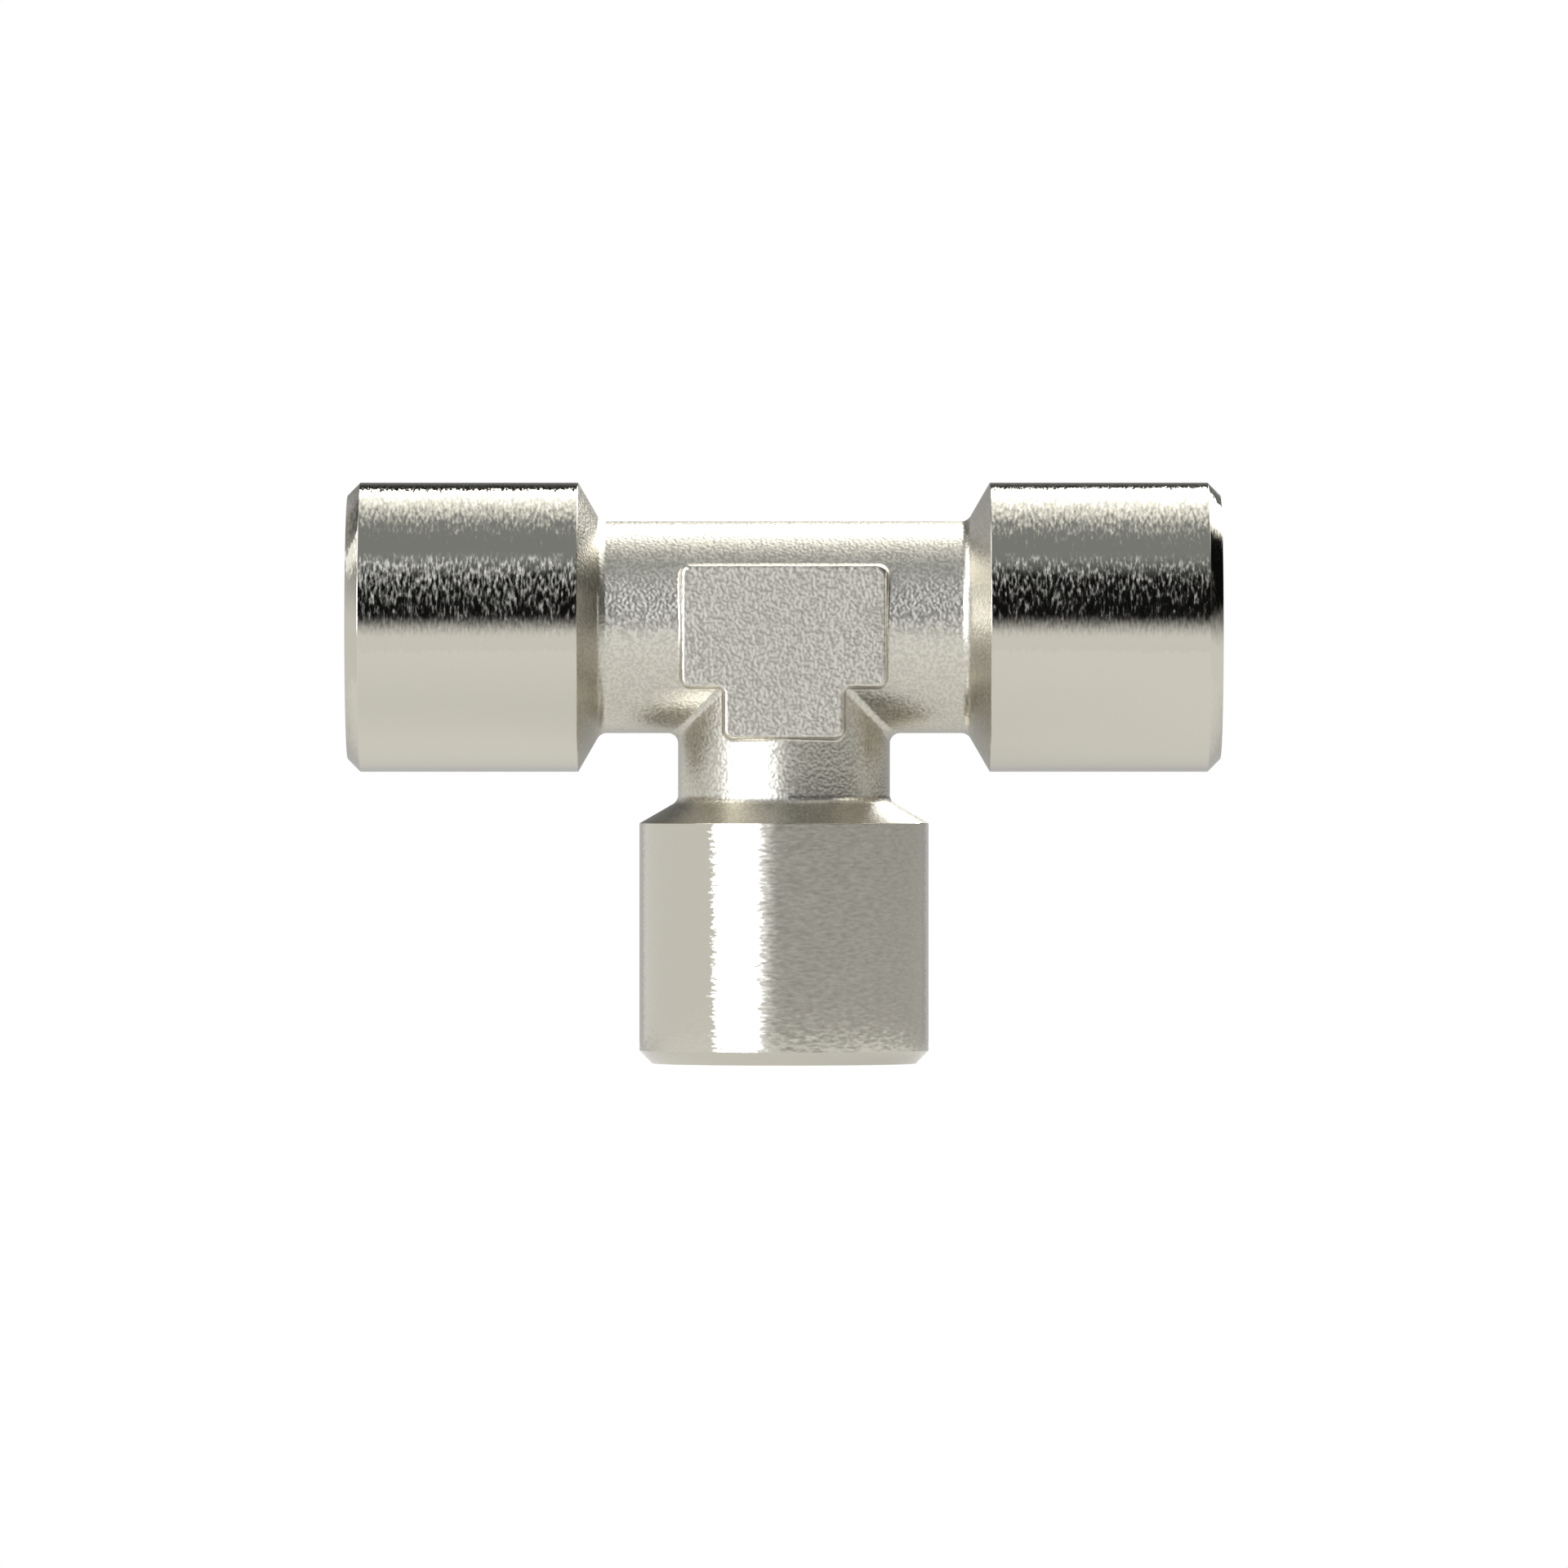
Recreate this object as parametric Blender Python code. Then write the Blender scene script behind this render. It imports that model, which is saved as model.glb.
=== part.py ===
# An equal pipe tee with three tapped sockets, forged in brass as one piece.
# The sockets are turned outside, drilled and bored inside, and the whole is nickel plated.
# It stands on the end face of its branch, with the run level above it:
# X is along the run, Z is up the branch, and the flat pads face -Y and +Y.
# The body's own origin is the crossing of its three axes.
import math

import bmesh
import bpy
from mathutils import Vector

MM = 0.001

# The female thread of each port, G 1/4, is cut in a bore of its minor diameter
THREAD_MAJOR = 13.16 * MM
THREAD_MINOR = 11.45 * MM
MOUTH_RELIEF = 0.17 * MM  # how far the 45 degree countersink opens past the thread's major radius
BORE_DEPTH = 11.0 * MM  # of the tapping bore, from the end face
DRILL_POINT = math.radians(118)  # whole angle of the cone at the bottom of the tapping bore

# The waterway that joins the three bores
PASSAGE_DIAMETER = 8.5 * MM
CROSSING_EDGE = 0.2 * MM  # rounded edge where the branch's passage meets the run's

# Legs. All three end at the same distance from the crossing of the axes.
SOCKET_WALL = 1.92 * MM  # metal outside the thread's major diameter
SOCKET_LENGTH = 13.55 * MM  # turned length on the run, the end chamfer included
END_CHAMFER = 0.75 * MM  # at 45 degrees, round the rim of each end face
NECK_WALL = 1.975 * MM  # metal outside the passage
NECK_REACH = 12.1 * MM  # from the crossing to the rear edge of a socket on the run
BRANCH_NECK_REACH = 11.53 * MM  # the same on the branch, whose socket is longer by the difference
SHOULDER_ANGLE = math.radians(60)  # between the axis and the cone that joins neck and socket
ROOT_FILLET = 0.6 * MM  # where the cone rises from the neck
CROTCH_FILLET = 0.6 * MM  # where the branch's neck grows out of the run's

# T-shaped flat pads, forged on the front and the back of the crossing.
# The T's sizes are those of the flat itself, inside its rounded edge.
PAD_RISE = 0.2 * MM  # how far the flat stands proud of the necks
BAR_LENGTH = 11.64 * MM  # along the run
BAR_WIDTH = 6.72 * MM  # across the run
STEM_WIDTH = 6.62 * MM  # across the branch
STEM_REACH = 6.37 * MM  # down the branch, from the run's axis to the foot of the T
PAD_CORNER = 0.33 * MM  # outward corners of the T
PAD_INNER_CORNER = 0.6 * MM  # inward corners of the T
PAD_EDGE = 0.2 * MM  # rounding between the flat and its walls
PAD_FOOT = 0.2 * MM  # fillet between the walls and the necks
PAD_DRAFT = math.radians(3.5)  # slope of the walls, so that the forging leaves its die

# Fineness of the facets
FACETS = 64  # round each leg
ROOT_STEPS = 4
CROTCH_STEPS = 5
EDGE_STEPS = 3
CORNER_STEPS = 3
CROWN_STEPS = 8  # along a side of a pad that crosses the crown of a neck

WELD = 0.001 * MM  # points nearer than this are one
OVERRUN = 1.0 * MM  # how far the bores' cutter stands out of the end faces
BITE = math.radians(12)  # angle at which a pad's foot runs in under the neck's skin
TUCK = 0.1 * MM  # how far it runs on at that angle
PAD_ROOT = 0.4  # where the buried part of a pad ends, as a share of the neck's radius
BISECTIONS = 24

NICKEL = (0.66, 0.61, 0.53, 1.0)

neck_radius = PASSAGE_DIAMETER / 2 + NECK_WALL
socket_radius = THREAD_MAJOR / 2 + SOCKET_WALL
centre_to_face = NECK_REACH + SOCKET_LENGTH


def clear_scene():
    for thing in list(bpy.data.objects):
        bpy.data.objects.remove(thing)


def arc(centre, radius, start, end, steps):
    """Points along an arc about centre, both ends included."""
    angles = [start + (end - start) * step / steps for step in range(steps + 1)]
    return [(centre[0] + radius * math.cos(a), centre[1] + radius * math.sin(a)) for a in angles]


def outside_profile(reach):
    """Half section of a leg's outside, as (distance from the crossing, radius), neck first."""
    foot = reach - (socket_radius - neck_radius) / math.tan(SHOULDER_ANGLE)
    tangent = ROOT_FILLET * math.tan(SHOULDER_ANGLE / 2)
    centre = (foot - tangent, neck_radius + ROOT_FILLET)
    down = -math.pi / 2
    return arc(centre, ROOT_FILLET, down, down + SHOULDER_ANGLE, ROOT_STEPS) + [
        (reach, socket_radius),
        (centre_to_face - END_CHAMFER, socket_radius),
        (centre_to_face, socket_radius - END_CHAMFER),
    ]


def bore_profile():
    """Half section of a leg's bore, passage first, run on past the end face for a clean cut."""
    passage = PASSAGE_DIAMETER / 2
    tapping = THREAD_MINOR / 2
    mouth = THREAD_MAJOR / 2 + MOUTH_RELIEF
    bottom = centre_to_face - BORE_DEPTH
    point = (tapping - passage) / math.tan(DRILL_POINT / 2)
    return [
        (bottom - point, passage),
        (bottom, tapping),
        (centre_to_face - (mouth - tapping), tapping),
        (centre_to_face + OVERRUN, mouth + OVERRUN),
    ]


def on_run(side, distance, radius, angle):
    """A point on the right (1) or left (-1) leg, with the angle taken from straight down."""
    return Vector((side * distance, radius * math.sin(angle), -radius * math.cos(angle)))


def on_branch(side, distance, radius, angle):
    """A point on the branch's right (1) or left (-1) half, with the angle taken from the run's plane."""
    return Vector((side * radius * math.cos(angle), radius * math.sin(angle), -distance))


def crotch_line(side, run_profile, branch_profile, radius, fillet, angle):
    """In along one leg of the run, round the crotch on a rolling ball's path, and down the branch."""
    reach = (radius + fillet) * math.cos(angle)
    centre = Vector((side * reach, (radius + fillet) * math.sin(angle), -reach))
    first = on_run(side, reach, radius, angle) - centre
    last = on_branch(side, reach, radius, angle) - centre
    turns = [first.slerp(last, step / CROTCH_STEPS) for step in range(CROTCH_STEPS + 1)]
    run = [on_run(side, d, r, angle) for d, r in reversed(run_profile)]
    branch = [on_branch(side, d, r, angle) for d, r in branch_profile]
    return run + [centre + turn * fillet for turn in turns] + branch


def crown_line(profile, radius, angle):
    """From end to end of the run, over the side that has no branch."""
    right = [on_run(1, d, r, angle) for d, r in reversed(profile)]
    left = [on_run(-1, d, r, angle) for d, r in profile]
    return right + [on_run(1, 0, radius, angle)] + left


def add_skin(bm, lines):
    """Quads between each line of points and the next."""
    rows = [[bm.verts.new(point) for point in line] for line in lines]
    for row, following in zip(rows, rows[1:]):
        for i in range(len(row) - 1):
            bm.faces.new((row[i], row[i + 1], following[i + 1], following[i]))


def mesh_object(name, bm):
    """Welds the skin, closes its open ends, turns the faces out and makes an object of it."""
    bmesh.ops.remove_doubles(bm, verts=bm.verts, dist=WELD)
    bmesh.ops.holes_fill(bm, edges=[edge for edge in bm.edges if edge.is_boundary])
    bmesh.ops.recalc_face_normals(bm, faces=bm.faces)
    mesh = bpy.data.meshes.new(name)
    bm.to_mesh(mesh)
    bm.free()
    thing = bpy.data.objects.new(name, mesh)
    bpy.context.collection.objects.link(thing)
    return thing


def tee_solid(name, run_profile, branch_profile, radius, fillet):
    """Three legs of the given profiles and one radius, whose crotches are rounded by the fillet."""
    bm = bmesh.new()
    half = FACETS // 2
    lower = [math.pi * (i / half - 0.5) for i in range(half + 1)]
    for side in (1, -1):
        lines = [crotch_line(side, run_profile, branch_profile, radius, fillet, angle) for angle in lower]
        add_skin(bm, lines)
    add_skin(bm, [crown_line(run_profile, radius, angle + math.pi) for angle in lower])
    return mesh_object(name, bm)


def rounded_corner(before, corner, after, radius):
    """(point, outward direction) along the arc in place of a right-angled corner of the outline."""
    back = (before - corner).normalized()
    onward = (after - corner).normalized()
    centre = corner + (back + onward) * radius
    outward = 1 if back.cross(onward).y > 0 else -1
    quarter = arc((0, 0), 1, 0, math.pi / 2, CORNER_STEPS)
    turns = [-onward * along - back * aside for along, aside in quarter]
    return [(centre + turn * radius, turn * outward) for turn in turns]


def skin_depth(point):
    """How far in front of the axes the skin of the necks lies."""
    aside = abs(point.z) if point.z > 0 else min(abs(point.x), abs(point.z))
    return math.sqrt(max(neck_radius**2 - aside**2, 0))


def pad_outline():
    """(point, outward direction) round the flat, with closer points on sides that cross a crown."""
    bar = BAR_LENGTH / 2
    top = BAR_WIDTH / 2
    stem = STEM_WIDTH / 2
    right = [
        (stem, -STEM_REACH, PAD_CORNER),
        (stem, -top, PAD_INNER_CORNER),
        (bar, -top, PAD_CORNER),
        (bar, top, PAD_CORNER),
    ]
    left = [(-x, z, radius) for x, z, radius in reversed(right)]
    corners = [Vector((x, 0, z)) for x, z, radius in right + left]
    following = corners[1:] + corners[:1]
    arcs = []
    for i, (x, z, radius) in enumerate(right + left):
        arcs.append(rounded_corner(corners[i - 1], corners[i], following[i], radius))
    outline = []
    for i, turn in enumerate(arcs):
        outline += turn
        start, outward = turn[-1]
        end = arcs[(i + 1) % len(arcs)][0][0]
        if skin_depth((start + end) / 2) > skin_depth(start) + WELD:
            outline += [(start.lerp(end, step / CROWN_STEPS), outward) for step in range(1, CROWN_STEPS)]
    return outline


def wall_ends(steepest, slope):
    """(growth, fall) from the flat to a skin of this slope, where the edge runs straight into the foot."""
    growth = PAD_EDGE * math.sin(steepest) + PAD_FOOT * (math.sin(steepest) - math.sin(slope))
    fall = PAD_EDGE * (1 - math.cos(steepest)) + PAD_FOOT * (math.cos(slope) - math.cos(steepest))
    return growth, fall


def low_wall(rise_over, slope, steepest):
    """Steepest slope between edge and foot where the flat stands too low for a whole wall."""
    gentle = slope
    for _ in range(BISECTIONS):
        middle = (gentle + steepest) / 2
        growth, fall = wall_ends(middle, slope)
        if fall < rise_over(growth):
            gentle = middle
        else:
            steepest = middle
    return steepest


def pad_section(point, outward):
    """(growth of the outline, depth) down the rounded edge, the wall and the foot, and in under the skin."""
    face = neck_radius + PAD_RISE
    reach = PAD_EDGE + PAD_FOOT

    def rise_over(growth):
        return face - skin_depth(point + outward * growth)

    slope = math.atan2(rise_over(reach) - rise_over(reach / 2), reach / 2)
    steepest = math.pi / 2 - PAD_DRAFT
    growth, fall = wall_ends(steepest, slope)
    wall = (rise_over(growth) - fall) / (math.sin(steepest) - math.cos(steepest) * math.tan(slope))
    if wall < 0:
        wall = 0
        steepest = low_wall(rise_over, slope, steepest)
    turn = math.pi / 2 - steepest
    dip = slope + BITE
    edge = arc((0, face - PAD_EDGE), PAD_EDGE, math.pi / 2, turn, EDGE_STEPS)
    across = edge[-1][0] + wall * math.cos(steepest) + PAD_FOOT * math.sin(steepest)
    depth = edge[-1][1] - wall * math.sin(steepest) + PAD_FOOT * math.cos(steepest)
    foot = arc((across, depth), PAD_FOOT, math.pi + turn, 1.5 * math.pi - dip, EDGE_STEPS)
    tuck = (foot[-1][0] + TUCK * math.cos(dip), foot[-1][1] - TUCK * math.sin(dip))
    return edge + foot + [tuck, (tuck[0], neck_radius * PAD_ROOT)]


def pad_solid(name):
    bm = bmesh.new()
    lines = []
    for point, outward in pad_outline():
        section = pad_section(point, outward)
        lines.append([point + outward * growth - Vector((0, depth, 0)) for growth, depth in section])
    add_skin(bm, lines + lines[:1])
    return mesh_object(name, bm)


def combine(body, operand, operation):
    boolean = body.modifiers.new(operand.name, "BOOLEAN")
    boolean.operation = operation
    boolean.solver = "EXACT"
    boolean.object = operand


def bake_modifiers(thing):
    """Puts the modifiers' result in the mesh, so that its own edges can be marked sharp."""
    graph = bpy.context.evaluated_depsgraph_get()
    mesh = bpy.data.meshes.new_from_object(thing.evaluated_get(graph))
    thing.modifiers.clear()
    thing.data = mesh


def nickel_plate():
    material = bpy.data.materials.new("nickel_plate")
    material.use_nodes = True
    shader = material.node_tree.nodes["Principled BSDF"]
    shader.inputs["Base Color"].default_value = NICKEL
    shader.inputs["Metallic"].default_value = 1.0
    shader.inputs["Roughness"].default_value = 0.3
    return material


def make_tee():
    run_skin = outside_profile(NECK_REACH)
    branch_skin = outside_profile(BRANCH_NECK_REACH)
    body = tee_solid("tee_body", run_skin, branch_skin, neck_radius, CROTCH_FILLET)
    front = pad_solid("front_pad")
    back = front.copy()
    back.name = "back_pad"
    back.rotation_euler.z = math.pi
    bpy.context.collection.objects.link(back)
    bore = bore_profile()
    bores = tee_solid("bores", bore, bore, PASSAGE_DIAMETER / 2, CROSSING_EDGE)
    combine(body, front, "UNION")
    combine(body, back, "UNION")
    combine(body, bores, "DIFFERENCE")
    bake_modifiers(body)
    for helper in (front, back, bores):
        bpy.data.objects.remove(helper)
    body.data.shade_smooth()
    body.data.set_sharp_from_angle(angle=math.radians(30))
    body.data.materials.append(nickel_plate())
    body.location.z = centre_to_face


clear_scene()
make_tee()
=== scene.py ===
import bpy
import math
from mathutils import Vector, Matrix


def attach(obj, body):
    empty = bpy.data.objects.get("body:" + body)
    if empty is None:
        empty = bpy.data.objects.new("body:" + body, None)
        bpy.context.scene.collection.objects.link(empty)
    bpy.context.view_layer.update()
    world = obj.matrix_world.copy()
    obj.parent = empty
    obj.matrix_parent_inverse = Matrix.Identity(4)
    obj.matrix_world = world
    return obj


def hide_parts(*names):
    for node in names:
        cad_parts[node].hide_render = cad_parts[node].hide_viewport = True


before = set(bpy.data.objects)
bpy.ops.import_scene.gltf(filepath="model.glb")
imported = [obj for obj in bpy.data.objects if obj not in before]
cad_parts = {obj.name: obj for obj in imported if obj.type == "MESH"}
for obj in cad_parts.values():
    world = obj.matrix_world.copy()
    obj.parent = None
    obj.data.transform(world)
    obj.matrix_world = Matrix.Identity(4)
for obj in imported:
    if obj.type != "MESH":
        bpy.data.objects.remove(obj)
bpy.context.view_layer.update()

mm = 0.001
near = 1e-6         # m, points and planes closer than this are taken as one
seamGap = 2e-6      # m, what is merged where two pieces are joined
noiseSpan = (0.3, 0.7)        # most of what a noise texture gives lies between these


# small helpers used by every piece

def deselectAll():
    if bpy.context.mode != "OBJECT":
        bpy.ops.object.mode_set(mode="OBJECT")
    bpy.ops.object.select_all(action="DESELECT")


def makeActive(ob):
    deselectAll()
    ob.select_set(True)
    bpy.context.view_layer.objects.active = ob


def pick(ob, verts=None, edges=None, faces=None):
    # selects by a test on the element, then goes to edit mode
    makeActive(ob)
    bpy.ops.object.mode_set(mode="EDIT")
    kind = "VERT" if verts else "EDGE" if edges else "FACE"
    bpy.ops.mesh.select_mode(type=kind)
    bpy.ops.mesh.select_all(action="DESELECT")
    bpy.ops.object.mode_set(mode="OBJECT")
    mesh = ob.data
    if verts:
        for v in mesh.vertices:
            v.select = verts(v.co)
    elif edges:
        for e in mesh.edges:
            a, b = (mesh.vertices[i].co for i in e.vertices)
            e.select = edges(a, b)
    else:
        for f in mesh.polygons:
            f.select = faces(f)
    bpy.ops.object.mode_set(mode="EDIT")


def applyAll(ob):
    makeActive(ob)
    for modifier in list(ob.modifiers):
        bpy.ops.object.modifier_apply(modifier=modifier.name)


def turned(ob, axis, degrees):
    # turns the finished mesh about the crossing
    ob.data.transform(Matrix.Rotation(math.radians(degrees), 4, axis))


def twin(ob, name):
    copy = ob.copy()
    copy.data = ob.data.copy()
    copy.name = copy.data.name = name
    bpy.context.collection.objects.link(copy)
    return copy


def joined(pieces, name, seam=lambda co: True):
    # one object, with the points of its seam merged
    makeActive(pieces[0])
    for piece in pieces[1:]:
        piece.select_set(True)
    bpy.ops.object.join()
    whole = bpy.context.active_object
    whole.name = whole.data.name = name
    pick(whole, verts=seam)
    bpy.ops.mesh.remove_doubles(threshold=seamGap)
    bpy.ops.mesh.select_all(action="SELECT")
    bpy.ops.mesh.normals_make_consistent(inside=False)
    bpy.ops.object.mode_set(mode="OBJECT")
    return whole


def cut(ob, tool, operation):
    boolean = ob.modifiers.new(tool.name, "BOOLEAN")
    boolean.operation = operation
    boolean.solver = "EXACT"
    boolean.object = tool
    applyAll(ob)
    bpy.data.objects.remove(tool)


def sheetOf(name, lines):
    # a grid whose rows are laid along the given lines of points
    deselectAll()
    rows, columns = len(lines), len(lines[0])
    bpy.ops.mesh.primitive_grid_add(x_subdivisions=rows - 1, y_subdivisions=columns - 1, size=1)
    ob = bpy.context.active_object
    ob.name = ob.data.name = name
    for v in ob.data.vertices:
        row = round((v.co.x + 0.5) * (rows - 1))
        column = round((v.co.y + 0.5) * (columns - 1))
        v.co = lines[row][column]
    return ob


# the tee, in mm

tee = {
    "facets": 192,            # round each leg
    "neckRadius": 6.225,
    "socketRadius": 8.5,
    "passageRadius": 4.25,
    "centreToFace": 25.65,
    "neckReach": 12.1,        # crossing to the rear edge of the run's sockets
    "branchNeckReach": 11.53, # and of the branch's, which is the longer one
    "coneAngle": 60,          # between axis and cone
    "rootFillet": 0.6,
    "chamfer": 0.75,
    "edgeRound": 0.05,        # broken edges left by the lathe tool
    "boreRadius": 5.725,      # minor radius of the thread
    "boreBottom": 14.65,      # crossing to the bottom of the bore
    "drillPoint": 118,
    "mouthRadius": 6.75,      # 45 degree countersink
    "crotchFillet": 0.6,
    "passageEdge": 0.2,
    "joint": 8.0,             # where legs and crossing are joined
    "crotchSteps": 10,
    "smoothAngle": 30,        # sharper edges than this stay sharp
}

thread = {
    "pitch": 1.337,
    "flank": 27.5,
    "majorRadius": 6.58,
    "apexRadius": 6.794,      # where the flanks would meet
    "innerRadius": 5.4,       # the tool's back, inside the bore
    "flankFoot": 5.7,
    "rootRound": 0.14,
    "depth": 8.6,             # full form, from the face
    "runOut": 1.2,            # turns over which the tap's lead fades the form
    "leadDrop": 1.0,          # how far the tool sinks towards the axis over them
    "stepsPerTurn": 96,
}


def coneFoot(reach):
    rise = tee["socketRadius"] - tee["neckRadius"]
    return reach - rise / math.tan(math.radians(tee["coneAngle"]))


def drawSection(name, corners):
    # pulls one vertex along the half section in the XZ plane, then rounds its corners
    deselectAll()
    bpy.ops.mesh.primitive_plane_add(size=mm)
    ob = bpy.context.active_object
    ob.name = ob.data.name = name
    bpy.ops.object.mode_set(mode="EDIT")
    bpy.ops.mesh.select_mode(type="VERT")
    bpy.ops.mesh.select_all(action="SELECT")
    bpy.ops.mesh.merge(type="CENTER")
    spots = [Vector((x * mm, 0, z * mm)) for x, z, rounding, steps in corners]
    bpy.ops.transform.translate(value=spots[0])
    for before, spot in zip(spots, spots[1:]):
        bpy.ops.mesh.extrude_region_move(TRANSFORM_OT_translate={"value": spot - before})
    bpy.ops.object.mode_set(mode="OBJECT")
    ends = (spots[0], spots[-1])
    pick(ob, verts=lambda co: min((co - end).length for end in ends) < near)
    bpy.ops.mesh.edge_face_add()
    for i, (x, z, rounding, steps) in enumerate(corners):
        if not rounding:
            continue
        back = (spots[i - 1] - spots[i]).normalized()
        onward = (spots[(i + 1) % len(spots)] - spots[i]).normalized()
        turn = math.pi - back.angle(onward)
        pick(ob, verts=lambda co: (co - spots[i]).length < near)
        bpy.ops.mesh.bevel(offset=rounding * mm * math.tan(turn / 2), segments=steps, affect="VERTICES")
    bpy.ops.object.mode_set(mode="OBJECT")
    return ob


def makeLeg(reach):
    # one leg along +X, from the joint with the crossing to its threaded port
    r = tee["edgeRound"]
    face = tee["centreToFace"]
    point = tee["boreRadius"] - tee["passageRadius"]
    point /= math.tan(math.radians(tee["drillPoint"] / 2))
    leg = drawSection("leg", [
        (tee["joint"], tee["neckRadius"], 0, 0),
        (coneFoot(reach), tee["neckRadius"], tee["rootFillet"], 8),
        (reach, tee["socketRadius"], r, 3),
        (face - tee["chamfer"], tee["socketRadius"], r, 3),
        (face, tee["socketRadius"] - tee["chamfer"], r, 3),
        (face, tee["mouthRadius"], r, 2),
        (face - (tee["mouthRadius"] - tee["boreRadius"]), tee["boreRadius"], 0, 0),
        (tee["boreBottom"], tee["boreRadius"], 0.1, 3),
        (tee["boreBottom"] - point, tee["passageRadius"], r, 2),
        (tee["joint"], tee["passageRadius"], 0, 0),
    ])
    makeActive(leg)
    bpy.ops.object.mode_set(mode="EDIT")
    bpy.ops.mesh.select_all(action="SELECT")
    bpy.ops.mesh.spin(steps=tee["facets"], angle=2 * math.pi, center=(0, 0, 0), axis=(1, 0, 0))
    bpy.ops.mesh.select_all(action="SELECT")
    bpy.ops.mesh.remove_doubles(threshold=near)
    bpy.ops.mesh.normals_make_consistent(inside=False)
    cut(leg, makeTap(), "DIFFERENCE")
    joint = tee["joint"] * mm
    pick(leg, faces=lambda f: abs(f.center.x - joint) < near and abs(f.normal.x) > 0.99)
    bpy.ops.mesh.delete(type="FACE")
    bpy.ops.object.mode_set(mode="OBJECT")
    print("leg spun and threaded", len(leg.data.polygons))
    return leg


def makeTap():
    # the helical cutter of the port's thread, with the tap's lead at its inner end
    slope = math.tan(math.radians(thread["flank"]))
    crest = thread["apexRadius"] - thread["majorRadius"]
    wide = (thread["apexRadius"] - thread["flankFoot"]) * slope
    start = tee["centreToFace"] + thread["pitch"]
    tap = drawSection("tap", [
        (start - wide, thread["innerRadius"], 0, 0),
        (start - wide, thread["flankFoot"], 0, 0),
        (start - crest * slope, thread["majorRadius"], thread["rootRound"], 2),
        (start + crest * slope, thread["majorRadius"], thread["rootRound"], 2),
        (start + wide, thread["flankFoot"], 0, 0),
        (start + wide, thread["innerRadius"], 0, 0),
    ])
    turns = thread["depth"] / thread["pitch"] + 1 + thread["runOut"]
    screw = tap.modifiers.new("helix", "SCREW")
    screw.axis = "X"
    screw.angle = 2 * math.pi * turns
    screw.screw_offset = -thread["pitch"] * turns * mm
    screw.steps = screw.render_steps = round(thread["stepsPerTurn"] * turns)
    screw.use_merge_vertices = False
    screw.use_smooth_shade = True
    applyAll(tap)
    full = (tee["centreToFace"] - thread["depth"]) * mm
    fade = thread["runOut"] * thread["pitch"] * mm
    for v in tap.data.vertices:
        beyond = min(max((full - v.co.x) / fade, 0), 1)
        radius = math.hypot(v.co.y, v.co.z)
        shrink = 1 - beyond * thread["leadDrop"] * mm / radius
        v.co.y *= shrink
        v.co.z *= shrink
    makeActive(tap)
    bpy.ops.object.mode_set(mode="EDIT")
    bpy.ops.mesh.select_all(action="SELECT")
    bpy.ops.mesh.fill_holes(sides=0)
    bpy.ops.mesh.normals_make_consistent(inside=False)
    bpy.ops.object.mode_set(mode="OBJECT")
    return tap


# points of the crossing; angles are taken from straight down on the run,
# and from the run's plane on the branch

def onRun(side, distance, radius, angle):
    return Vector((side * distance, radius * math.sin(angle), -radius * math.cos(angle)))


def onBranch(side, distance, radius, angle):
    return Vector((side * radius * math.cos(angle), radius * math.sin(angle), -distance))


def crotchLine(side, radius, fillet, angle, steps):
    reach = (radius + fillet) * math.cos(angle)
    centre = Vector((side * reach, (radius + fillet) * math.sin(angle), -reach))
    first = onRun(side, reach, radius, angle) - centre
    last = onBranch(side, reach, radius, angle) - centre
    turns = [first.slerp(last, i / steps) * fillet for i in range(steps + 1)]
    joint = tee["joint"]
    line = [onRun(side, joint, radius, angle)] + [centre + turn for turn in turns]
    return [p * mm for p in line + [onBranch(side, joint, radius, angle)]]


def makeCrossing():
    half = tee["facets"] // 2
    angles = [math.pi * (i / half - 0.5) for i in range(half + 1)]
    joint = tee["joint"]
    sheets = []
    for part, radius, fillet, steps in (
        ("skin", tee["neckRadius"], tee["crotchFillet"], tee["crotchSteps"]),
        ("bore", tee["passageRadius"], tee["passageEdge"], 4),
    ):
        for side in (1, -1):
            lines = [crotchLine(side, radius, fillet, a, steps) for a in angles]
            sheets.append(sheetOf(part, lines))
        crown = [[onRun(1, d, radius, a + math.pi) * mm for d in (joint, 0, -joint)] for a in angles]
        sheets.append(sheetOf(part, crown))
    crossing = joined(sheets, "crossing")
    for axis, side in ((0, 1), (0, -1), (2, -1)):
        plane = side * joint * mm
        pick(crossing, edges=lambda a, b: abs(a[axis] - plane) < near and abs(b[axis] - plane) < near)
        bpy.ops.mesh.bridge_edge_loops()
    bpy.ops.mesh.select_all(action="SELECT")
    bpy.ops.mesh.normals_make_consistent(inside=False)
    bpy.ops.object.mode_set(mode="OBJECT")
    return crossing


# the T pads, in mm

pad = {
    "rise": 0.2,              # how far the flat stands proud of the necks
    "barLength": 11.64,
    "barWidth": 6.72,
    "stemWidth": 6.62,
    "stemReach": 6.37,
    "corner": 0.33,
    "innerCorner": 0.6,
    "edge": 0.2,              # rounding of the flat's edge
    "foot": 0.2,              # fillet down to the necks
    "draft": 3.5,
    "root": 4.6,              # buried end, clear of the passage
    "bite": 8,                # degrees at which the foot runs under the skin
    "tuck": 0.12,
    "cornerSteps": 8,
    "crownSteps": 24,
    "edgeSteps": 6,
    "ring": 0.02,             # a narrow flat ring round the flat, so that it shades flat
    "halvings": 24,
}


def arcPoints(centre, radius, start, end, steps):
    angles = [start + (end - start) * i / steps for i in range(steps + 1)]
    return [(centre[0] + radius * math.cos(a), centre[1] + radius * math.sin(a)) for a in angles]


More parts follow.
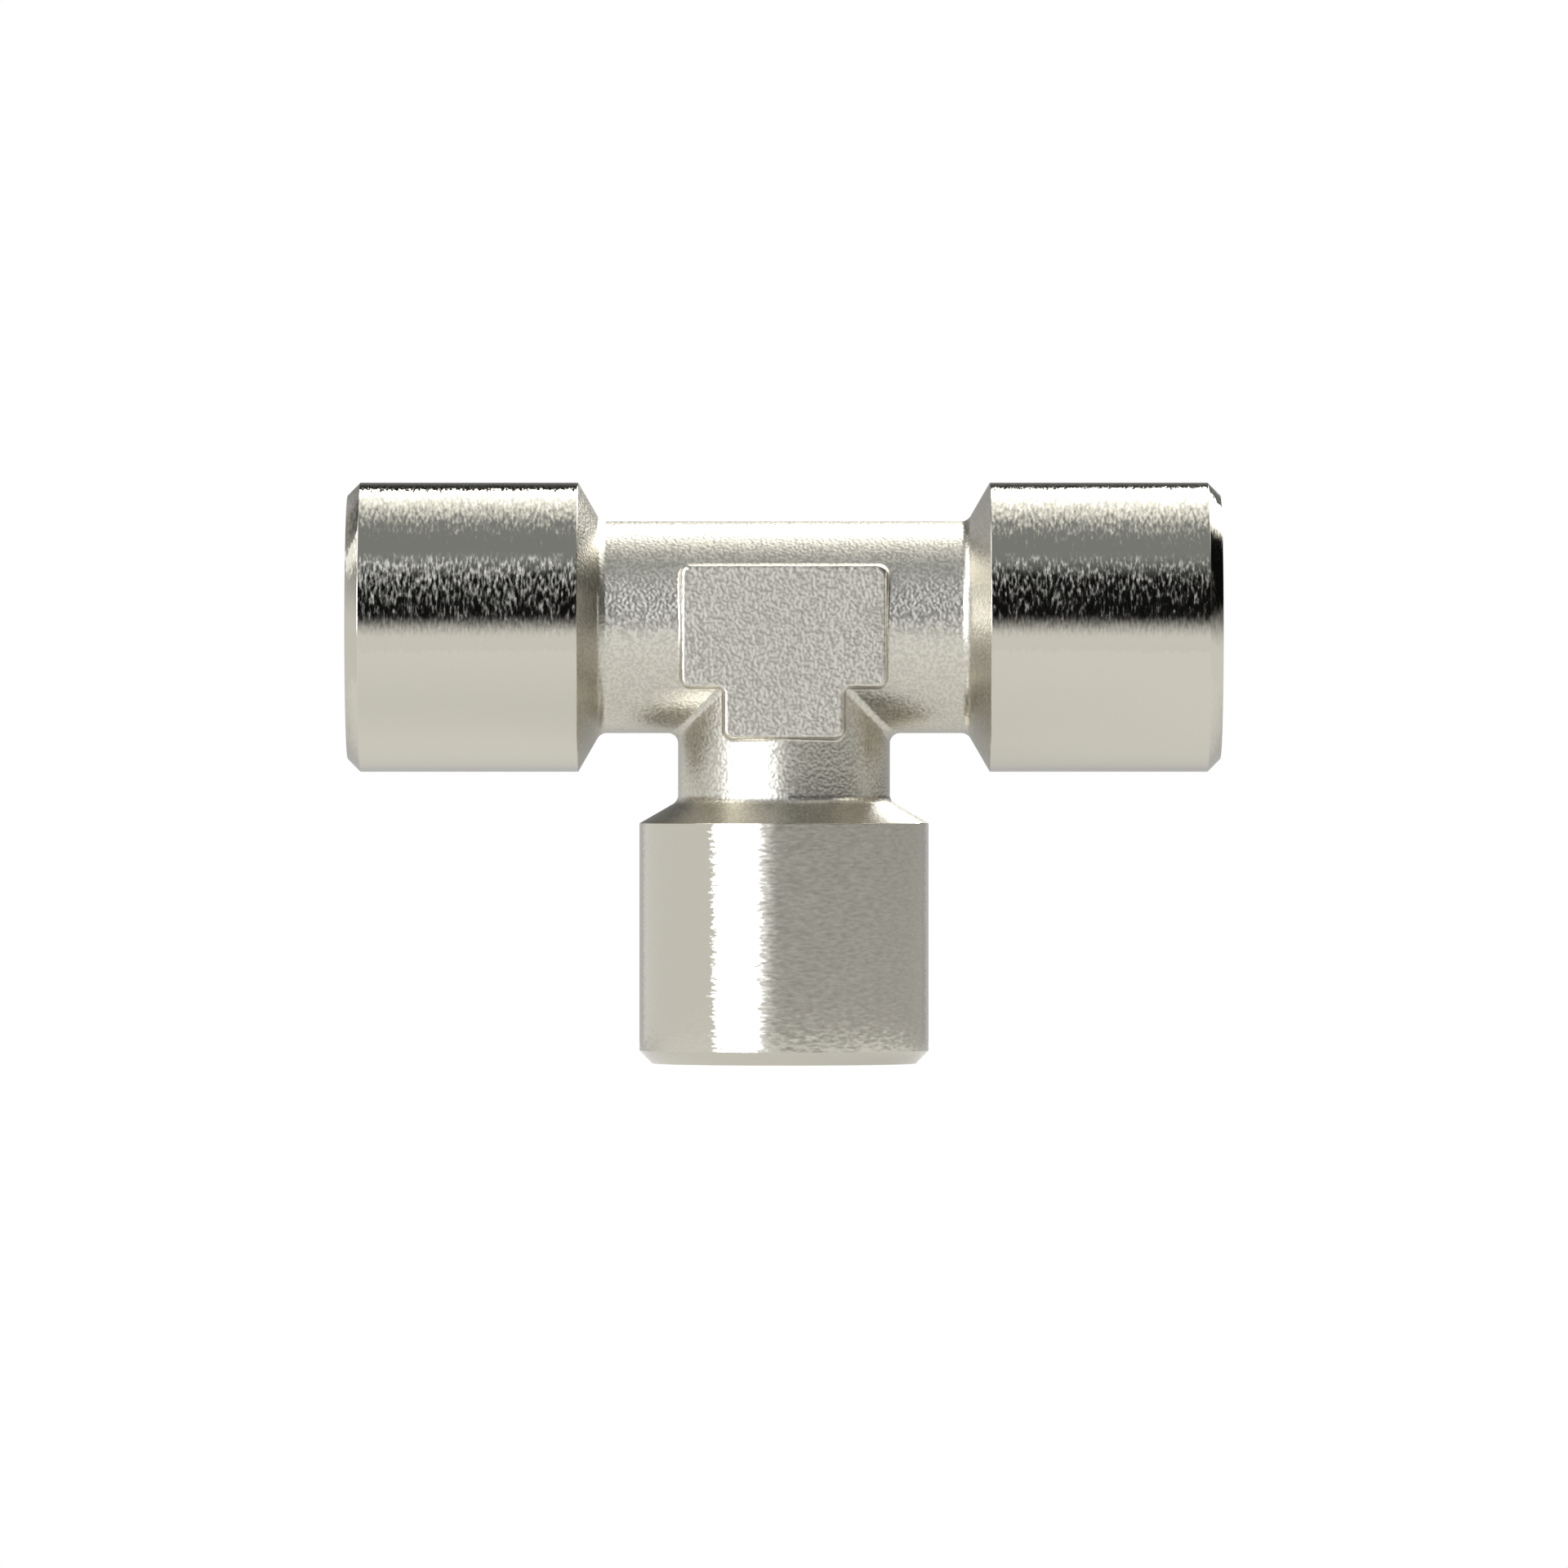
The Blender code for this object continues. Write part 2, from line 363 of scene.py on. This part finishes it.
def roundedCorner(before, corner, after, radius):
    back = (before - corner).normalized()
    onward = (after - corner).normalized()
    centre = corner + (back + onward) * radius
    outward = 1 if back.cross(onward).y > 0 else -1
    quarter = arcPoints((0, 0), 1, 0, math.pi / 2, pad["cornerSteps"])
    turns = [-onward * along - back * aside for along, aside in quarter]
    return [(centre + turn * radius, turn * outward) for turn in turns]


def skinDepth(p):
    aside = abs(p.z) if p.z > 0 else min(abs(p.x), abs(p.z))
    return math.sqrt(max(tee["neckRadius"] ** 2 - aside ** 2, 0))


def padOutline():
    bar, top, stem = pad["barLength"] / 2, pad["barWidth"] / 2, pad["stemWidth"] / 2
    right = [
        (stem, -pad["stemReach"], pad["corner"]),
        (stem, -top, pad["innerCorner"]),
        (bar, -top, pad["corner"]),
        (bar, top, pad["corner"]),
    ]
    spots = right + [(-x, z, radius) for x, z, radius in reversed(right)]
    corners = [Vector((x, 0, z)) for x, z, radius in spots]
    arcs = []
    for i, (x, z, radius) in enumerate(spots):
        arcs.append(roundedCorner(corners[i - 1], corners[i], corners[(i + 1) % 8], radius))
    outline = []
    for i, turn in enumerate(arcs):
        outline += turn
        start, outward = turn[-1]
        end = arcs[(i + 1) % 8][0][0]
        if skinDepth((start + end) / 2) > skinDepth(start) + near / mm:
            steps = pad["crownSteps"]
            outline += [(start.lerp(end, k / steps), outward) for k in range(1, steps)]
    return outline


def padSection(point, outward):
    # (growth of the outline, depth): round over, wall, foot, and in under the skin
    face = tee["neckRadius"] + pad["rise"]
    edge, foot = pad["edge"], pad["foot"]

    def drop(growth):
        return face - skinDepth(point + outward * growth)

    slope = math.atan2(drop(edge + foot) - drop((edge + foot) / 2), (edge + foot) / 2)

    def ends(steep):
        growth = edge * math.sin(steep) + foot * (math.sin(steep) - math.sin(slope))
        fall = edge * (1 - math.cos(steep)) + foot * (math.cos(slope) - math.cos(steep))
        return growth, fall

    steep = math.pi / 2 - math.radians(pad["draft"])
    growth, fall = ends(steep)
    wall = (drop(growth) - fall) / (math.sin(steep) - math.cos(steep) * math.tan(slope))
    if wall < 0:
        wall, gentle = 0, slope
        for _ in range(pad["halvings"]):
            middle = (gentle + steep) / 2
            growth, fall = ends(middle)
            if fall < drop(growth):
                gentle = middle
            else:
                steep = middle
    turn = math.pi / 2 - steep
    dip = slope + math.radians(pad["bite"])
    upper = arcPoints((0, face - edge), edge, math.pi / 2, turn, pad["edgeSteps"])
    across = upper[-1][0] + wall * math.cos(steep) + foot * math.sin(steep)
    depth = upper[-1][1] - wall * math.sin(steep) + foot * math.cos(steep)
    lower = arcPoints((across, depth), foot, math.pi + turn, 1.5 * math.pi - dip, pad["edgeSteps"])
    tuck = (lower[-1][0] + pad["tuck"] * math.cos(dip), lower[-1][1] - pad["tuck"] * math.sin(dip))
    return upper + lower + [tuck, (tuck[0], pad["root"])]


def makePad():
    lines = []
    for point, outward in padOutline():
        section = padSection(point, outward)
        lines.append([(point + outward * growth - Vector((0, depth, 0))) * mm for growth, depth in section])
    block = sheetOf("padFront", lines + lines[:1])
    makeActive(block)
    bpy.ops.object.mode_set(mode="EDIT")
    bpy.ops.mesh.select_all(action="SELECT")
    bpy.ops.mesh.remove_doubles(threshold=near / 2)
    bpy.ops.mesh.fill_holes(sides=0)
    bpy.ops.mesh.normals_make_consistent(inside=False)
    bpy.ops.object.mode_set(mode="OBJECT")
    face = -(tee["neckRadius"] + pad["rise"]) * mm
    pick(block, faces=lambda f: abs(f.center.y - face) < near / 10)
    bpy.ops.mesh.inset(thickness=pad["ring"] * mm)
    bpy.ops.object.mode_set(mode="OBJECT")
    return block


def marked(ob, index):
    # notes on each face which piece it came from, for the seams that the booleans make
    for name in ("skin", "pad"):
        ob.data.materials.append(bpy.data.materials.get(name) or bpy.data.materials.new(name))
    for f in ob.data.polygons:
        f.material_index = index


def sharpenSeams(ob):
    sides = {}
    for f in ob.data.polygons:
        for key in f.edge_keys:
            sides.setdefault(key, set()).add(f.material_index)
    for e in ob.data.edges:
        if len(sides[e.key]) > 1:
            e.use_edge_sharp = True


def makeTee():
    leg = makeLeg(tee["neckReach"])
    branch = makeLeg(tee["branchNeckReach"])
    turned(branch, "Y", 90)
    left = twin(leg, "legLeft")
    turned(left, "Z", 180)
    crossing = makeCrossing()
    print("crossing laid", len(crossing.data.polygons))
    front = makePad()
    marked(crossing, 0)
    marked(front, 1)
    back = twin(front, "padBack")
    turned(back, "Z", 180)
    cut(crossing, front, "UNION")
    cut(crossing, back, "UNION")
    sharpenSeams(crossing)
    print("pads fused", len(crossing.data.polygons))
    joint = tee["joint"] * mm

    def onJoint(f):
        c, n = f.center, f.normal
        side = abs(abs(c.x) - joint) < near and abs(n.x) > 0.99
        return side or abs(c.z + joint) < near and abs(n.z) > 0.99

    def onSeam(co):
        return abs(abs(co.x) - joint) < seamGap or abs(co.z + joint) < seamGap

    pick(crossing, faces=onJoint)
    bpy.ops.mesh.delete(type="FACE")
    bpy.ops.object.mode_set(mode="OBJECT")
    whole = joined([crossing, leg, left, branch], "tee", onSeam)
    makeActive(whole)
    bpy.ops.object.shade_smooth_by_angle(angle=math.radians(tee["smoothAngle"]))
    weighted = whole.modifiers.new("weighted", "WEIGHTED_NORMAL")
    weighted.mode = "FACE_AREA"
    weighted.keep_sharp = True
    applyAll(whole)
    whole.data.transform(Matrix.Translation((0, 0, tee["centreToFace"] * mm)))
    print("tee joined", len(whole.data.polygons))
    return whole


# materials

class Wire:
    # one output socket; arithmetic on it adds Math nodes
    def __init__(self, tree, socket=None):
        self.tree = tree
        self.socket = socket

    def node(self, kind, settings=None, inputs=None, output=0):
        made = self.tree.nodes.new(kind)
        for name, value in (settings or {}).items():
            setattr(made, name, value)
        for name, value in (inputs or {}).items():
            if isinstance(value, Wire):
                self.tree.links.new(value.socket, made.inputs[name])
            else:
                made.inputs[name].default_value = value
        return Wire(self.tree, made.outputs[output])

    def maths(self, operation, a, b=0.0, c=0.0):
        return self.node("ShaderNodeMath", {"operation": operation}, {0: a, 1: b, 2: c})

    def __add__(self, other): return self.maths("ADD", self, other)
    def __radd__(self, other): return self.maths("ADD", other, self)
    def __sub__(self, other): return self.maths("SUBTRACT", self, other)
    def __rsub__(self, other): return self.maths("SUBTRACT", other, self)
    def __mul__(self, other): return self.maths("MULTIPLY", self, other)
    def __rmul__(self, other): return self.maths("MULTIPLY", other, self)
    def __truediv__(self, other): return self.maths("DIVIDE", self, other)
    def __pow__(self, other): return self.maths("POWER", self, other)

    def fitted(self, low, high, out0=0.0, out1=1.0):
        # smooth step between two values
        settings = {"interpolation_type": "SMOOTHSTEP"}
        return self.node("ShaderNodeMapRange", settings, {"Value": self, 1: low, 2: high, 3: out0, 4: out1})


def newMaterial(name):
    material = bpy.data.materials.new(name)
    material.use_nodes = True
    tree = material.node_tree
    shader = tree.nodes["Principled BSDF"]
    return material, Wire(tree), shader


def plugIn(wire, shader, name, value):
    wire.tree.links.new(value.socket, shader.inputs[name])


nickel = {
    "colour": (0.66, 0.631, 0.548),
    "turnedRoughness": 0.09,
    "turnedUneven": 0.15,     # share by which the roughness varies
    "ripple": 0.16,           # mm, size along the axis of the ripple that the lathe left
    "drawnOut": 0.48,         # mm, and round the leg
    "faceShift": 0.6,         # carries the ripple on from the socket over its end face
    "runTilt": (0.35, 0.09),  # how far the ripple tilts the surface, along the leg and round it
    "branchTilt": (0.05, 0.19),
    "inside": 0.3,            # how much of the ripple the end faces and the threads have
    "fade": 0.35,             # mm, the width over which it lessens inside the chamfer
    "forgedRoughness": 0.33,
    "forgedUneven": 0.1,
    "grain": 0.185,           # mm, of the blasted skin
    "grainDepth": 0.0155,
    "speckle": (0.9, 1.09),   # the plating's tone, from the pits of the grain to its peaks
    "paintedConeShade": 0.77,        # painted shade: the cones' colour is darkened to this share of the nickel's
    "paintedShadeBand": (10.5, 11.3), # mm from the crossing, where the painted shade begins
}


def position(wire):
    # object coordinates in mm, measured from the crossing
    place = wire.node("ShaderNodeTexCoord", output="Object")
    mapping = {"Location": (0, 0, -tee["centreToFace"]), "Scale": (1000, 1000, 1000)}
    return wire.node("ShaderNodeMapping", inputs={"Vector": place, **mapping})


def parts(vector):
    return [vector.node("ShaderNodeSeparateXYZ", inputs={0: vector}, output=axis) for axis in "XYZ"]


def vectorMaths(wire, operation, a, b=(0, 0, 0), scale=1.0):
    inputs = {0: a, 1: b} if operation != "SCALE" else {0: a, "Scale": scale}
    return wire.node("ShaderNodeVectorMath", {"operation": operation}, inputs)


def uneven(noise, level, share):
    return noise.fitted(*noiseSpan, level * (1 - share), level * (1 + share))


def makeTurned(name, axis, tilts):
    # bright lathe-turned nickel; its ripple, drawn out round the leg, tilts the surface
    tiltAlong, tiltRound = tilts
    material, wire, shader = newMaterial(name)
    spot = position(wire)
    x, y, z = parts(spot)
    along, aside = (x, z) if axis == "X" else (z, x)
    across, way = ((0, 1, 1), (1, 0, 0)) if axis == "X" else ((1, 1, 0), (0, 0, 1))
    radius = (aside * aside + y * y) ** 0.5
    lathe = (wire.maths("ABSOLUTE", along) - radius * nickel["faceShift"]) / nickel["ripple"]
    long = nickel["drawnOut"]
    ripple = wire.node("ShaderNodeCombineXYZ", inputs={0: lathe, 1: y / long, 2: aside / long})
    noise = wire.node("ShaderNodeTexNoise", {"noise_dimensions": "3D"},
                      {"Vector": ripple, "Scale": 1.0, "Detail": 2.0, "Roughness": 0.5}, "Color")
    first, second, third = parts(noise)
    normal = wire.node("ShaderNodeTexCoord", output="Normal")
    outward = vectorMaths(wire, "MULTIPLY", spot, across)
    around = vectorMaths(wire, "NORMALIZE", vectorMaths(wire, "CROSS_PRODUCT", way, outward))
    lengthwise = vectorMaths(wire, "CROSS_PRODUCT", around, normal)
    rim = tee["socketRadius"] - tee["chamfer"]
    share = radius.fitted(rim - nickel["fade"], rim, nickel["inside"])
    tilted = vectorMaths(wire, "SCALE", lengthwise, scale=(first - 0.5) * share * tiltAlong)
    turnedBy = vectorMaths(wire, "SCALE", around, scale=(second - 0.5) * share * tiltRound)
    facing = vectorMaths(wire, "ADD", normal, vectorMaths(wire, "ADD", tilted, turnedBy))
    shader.inputs["Metallic"].default_value = 1.0
    shader.inputs["Base Color"].default_value = (*nickel["colour"], 1)
    plugIn(wire, shader, "Roughness", uneven(third, nickel["turnedRoughness"], nickel["turnedUneven"]))
    plugIn(wire, shader, "Normal", vectorMaths(wire, "NORMALIZE", facing))
    return material


def makeForged(name):
    # satin nickel over the forging's blasted skin, with painted shade darkening the cones
    material, wire, shader = newMaterial(name)
    spot = position(wire)
    grain = wire.node("ShaderNodeTexNoise", {"noise_dimensions": "3D"},
                      {"Vector": spot, "Scale": 1 / nickel["grain"], "Detail": 0.0, "Roughness": 0.5})
    depth = {"Strength": 1.0, "Distance": nickel["grainDepth"] * mm}
    bump = wire.node("ShaderNodeBump", inputs={"Height": grain, **depth})
    x, y, z = parts(spot)
    reach = wire.maths("MAXIMUM", wire.maths("ABSOLUTE", x), tee["neckReach"] - tee["branchNeckReach"] - z)
    # painted shade: the nickel colour is darkened on the cones, from the band outward
    pale, coneShaded = ((*[c * shade for c in nickel["colour"]], 1) for shade in (1, nickel["paintedConeShade"]))
    onCone = reach.fitted(*nickel["paintedShadeBand"])
    mixed = wire.node("ShaderNodeMix", {"data_type": "RGBA"}, {0: onCone, 6: pale, 7: coneShaded}, 2)
    speckled = vectorMaths(wire, "SCALE", mixed, scale=grain.fitted(*noiseSpan, *nickel["speckle"]))
    shader.inputs["Metallic"].default_value = 1.0
    plugIn(wire, shader, "Base Color", speckled)
    plugIn(wire, shader, "Roughness", uneven(grain, nickel["forgedRoughness"], nickel["forgedUneven"]))
    plugIn(wire, shader, "Normal", bump)
    return material


def finishTee(ob):
    # sockets and bores are turned, all the rest is as forged
    ob.data.materials.clear()
    for name in ("skin", "pad"):
        bpy.data.materials.remove(bpy.data.materials[name])
    forged, onRunLeg, onBranchLeg = range(3)
    ob.data.materials.append(makeForged("forgedNickel"))
    ob.data.materials.append(makeTurned("turnedRun", "X", nickel["runTilt"]))
    ob.data.materials.append(makeTurned("turnedBranch", "Z", nickel["branchTilt"]))
    slack = 0.02              # mm, takes in the rounded rear edge of a socket
    bore = tee["passageRadius"] + 0.3
    for f in ob.data.polygons:
        x, y, z = f.center / mm
        z -= tee["centreToFace"]
        runSocket = abs(x) > tee["neckReach"] - slack
        branchSocket = z < -(tee["branchNeckReach"] - slack)
        inside = math.hypot(y, z) < bore or z < 0 and math.hypot(x, y) < bore
        f.material_index = forged
        if runSocket or branchSocket or inside:
            f.material_index = onBranchLeg if branchSocket or z < -abs(x) else onRunLeg


# floor, surroundings and camera

studio = {
    "floorRadius": 0.08,
    "floorSides": 96,
    "floorColour": (0.15, 0.15, 0.15),
    "floorGlow": (0.92, 0.67, 0.34),       # as the camera sees it, and the nickel before and behind
    "floorFade": (-5, 50),    # mm along Y, where the mirrored glow falls off
    "dark": 0.004,
    "ceiling": {"from": 37.3, "to": 58.7, "light": (0.276, 0.29, 0.3)},
    "ground": {"from": 9.3, "to": -9.1, "light": (0.853, 0.853, 0.853)},
    # azimuth from the camera's side towards +X and elevation, in degrees, the widths of the soft
    # edges, and the light; each lies over those before it
    "surfaces": {
        "backSky": {"az": (150, 215), "el": (-30, 22), "edges": (20, 24), "light": (0.18, 0.18, 0.18)},
        "paleWall": {"az": (-160, -52), "el": (-30, 22), "edges": (32, 48), "light": (0.80, 0.80, 0.80)},
        "backWall": {"az": (150, 206), "el": (-30, 7), "edges": (20, 10), "light": (0.52, 0.52, 0.52)},
        "sideLamp": {"az": (-114, -64), "el": (29, 62), "edges": (8, 12), "light": (3.3, 3.3, 3.3)},
        "lampRim": {"az": (-116, -101), "el": (19, 34), "edges": (6, 6), "light": (1.25, 1.25, 1.25)},
        "dimWall": {"az": (22, 86), "el": (14, 45), "edges": (16, 8), "light": (0.12, 0.12, 0.12)},
        "boxEdge": {"az": (-30, -8.75), "el": (-9, 55.8), "edges": (26.5, 10.8),
                    "light": (1.5, 1.55, 1.67), "stepBack": 8.5},
        "softBox": {"az": (-55.5, -20.8), "el": (-1.5, 34.5), "edges": (8, 9), "light": (8.6, 8.9, 9.7)},
    },
    "stepBand": (-12, 48),    # elevations between which stepBack, low on a right edge, runs out
    # the overhead panel and its brighter middle, by the pitch back over the top, whose front
    # edge slants with the angle aside
    "slant": 2.6,
    "slantLimit": 8,
    "panel": [
        {"front": (79.5, 136.5), "back": (146, 139.5), "left": (-26, -14), "right": (50, 42),
         "light": (1.8, 1.8, 1.76)},
        {"front": (121, 136), "back": (146, 140), "left": (-26, -14), "right": (46, 33),
         "light": (6.2, 6.2, 6.05)},
    ],
    "backSlant": 2.1,
    "backLimit": 6.5,
}


def makeFloor():
    deselectAll()
    sides, radius = studio["floorSides"], studio["floorRadius"]
    bpy.ops.mesh.primitive_circle_add(vertices=sides, radius=radius, fill_type="NGON")
    floor = bpy.context.active_object
    floor.name = floor.data.name = "floor"
    material, wire, shader = newMaterial("paleFloor")
    tree = wire.tree
    direct = wire.node("ShaderNodeLightPath", output="Is Camera Ray")
    glossy = wire.node("ShaderNodeLightPath", output="Is Glossy Ray")
    asSeen, before, behind = studio["floorGlow"]
    asMirrored = parts(position(wire))[1].fitted(*studio["floorFade"], before, behind)
    glow = wire.node("ShaderNodeEmission", inputs={"Color": direct * asSeen + glossy * asMirrored})
    matt = wire.node("ShaderNodeBsdfDiffuse", inputs={"Color": (*studio["floorColour"], 1)})
    both = wire.node("ShaderNodeAddShader", inputs={0: matt, 1: glow})
    tree.nodes.remove(shader)
    tree.links.new(both.socket, tree.nodes["Material Output"].inputs["Surface"])
    floor.data.materials.append(material)
    return floor


def makeWorld():
    # the studio that the nickel mirrors, drawn by direction
    world = bpy.data.worlds.new("studio")
    bpy.context.scene.world = world
    world.use_nodes = True
    tree = world.node_tree
    wire = Wire(tree)
    x, y, z = parts(wire.node("ShaderNodeTexCoord", output="Generated"))
    toDegrees = math.degrees(1)
    front = y * -1
    azimuth = wire.maths("ARCTAN2", x, front) * toDegrees
    elevation = wire.maths("ARCSINE", z) * toDegrees
    aside = wire.maths("ARCSINE", x) * toDegrees
    pitch = wire.maths("ARCTAN2", z, front) * toDegrees

    def over(light, mask, colour):
        return wire.node("ShaderNodeMix", {"data_type": "RGBA"}, {0: mask, 6: light, 7: (*colour, 1)}, 2)

    light = (studio["dark"],) * 3 + (1,)
    for part in ("ceiling", "ground"):
        spread = studio[part]
        low, high = sorted((spread["from"], spread["to"]))
        rising = 1 if spread["to"] > spread["from"] else 0
        light = over(light, elevation.fitted(low, high, 1 - rising, rising), spread["light"])
    for item in studio["surfaces"].values():
        left, right = item["az"]
        bottom, top = item["el"]
        soft, softEl = (width / 2 for width in item["edges"])
        middle, half = (left + right) / 2, (right - left) / 2
        offset = wire.maths("WRAP", azimuth - middle, 180, -180)
        shifted = offset
        if "stepBack" in item:
            shifted = offset + elevation.fitted(*studio["stepBand"], item["stepBack"], 0)
        mask = offset.fitted(-half - soft, -half + soft) * shifted.fitted(half - soft, half + soft, 1, 0)
        mask = mask * elevation.fitted(bottom - softEl, bottom + softEl)
        mask = mask * elevation.fitted(top - softEl, top + softEl, 1, 0)
        light = over(light, mask, item["light"])
    slanted = pitch + wire.maths("MINIMUM", aside, studio["slantLimit"]) * studio["slant"]
    leaning = pitch - wire.maths("MINIMUM", aside, studio["backLimit"]) * studio["backSlant"]
    for panel in studio["panel"]:
        mask = slanted.fitted(*panel["front"]) * leaning.fitted(*reversed(panel["back"]), 1, 0)
        mask = mask * aside.fitted(*panel["left"]) * aside.fitted(*reversed(panel["right"]), 1, 0)
        light = over(light, mask, panel["light"])
    light = over(light, wire.node("ShaderNodeLightPath", output="Is Camera Ray"), (1, 1, 1))
    background = tree.nodes["Background"]
    tree.links.new(light.socket, background.inputs["Color"])
    background.inputs["Strength"].default_value = 1.0


view = {
    "distance": 0.95,         # m, from the camera to the run's axis
    "width": 92.2,            # mm across the picture at that distance
    "height": 16.43,          # mm above the floor
    "sensor": 36,
}


def makeCamera():
    data = bpy.data.cameras.new("camera")
    camera = bpy.data.objects.new("camera", data)
    bpy.context.collection.objects.link(camera)
    data.sensor_width = view["sensor"]
    data.lens = view["sensor"] * view["distance"] / (view["width"] * mm)
    data.clip_end = 10
    camera.location = (0, -view["distance"], view["height"] * mm)
    camera.rotation_euler = (math.pi / 2, 0, 0)
    bpy.context.scene.camera = camera


body = makeTee()
finishTee(body)
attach(body, "root")
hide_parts("tee_body")
makeFloor()
makeWorld()
makeCamera()
bpy.context.scene.view_settings.view_transform = "Standard"
print("studio set")
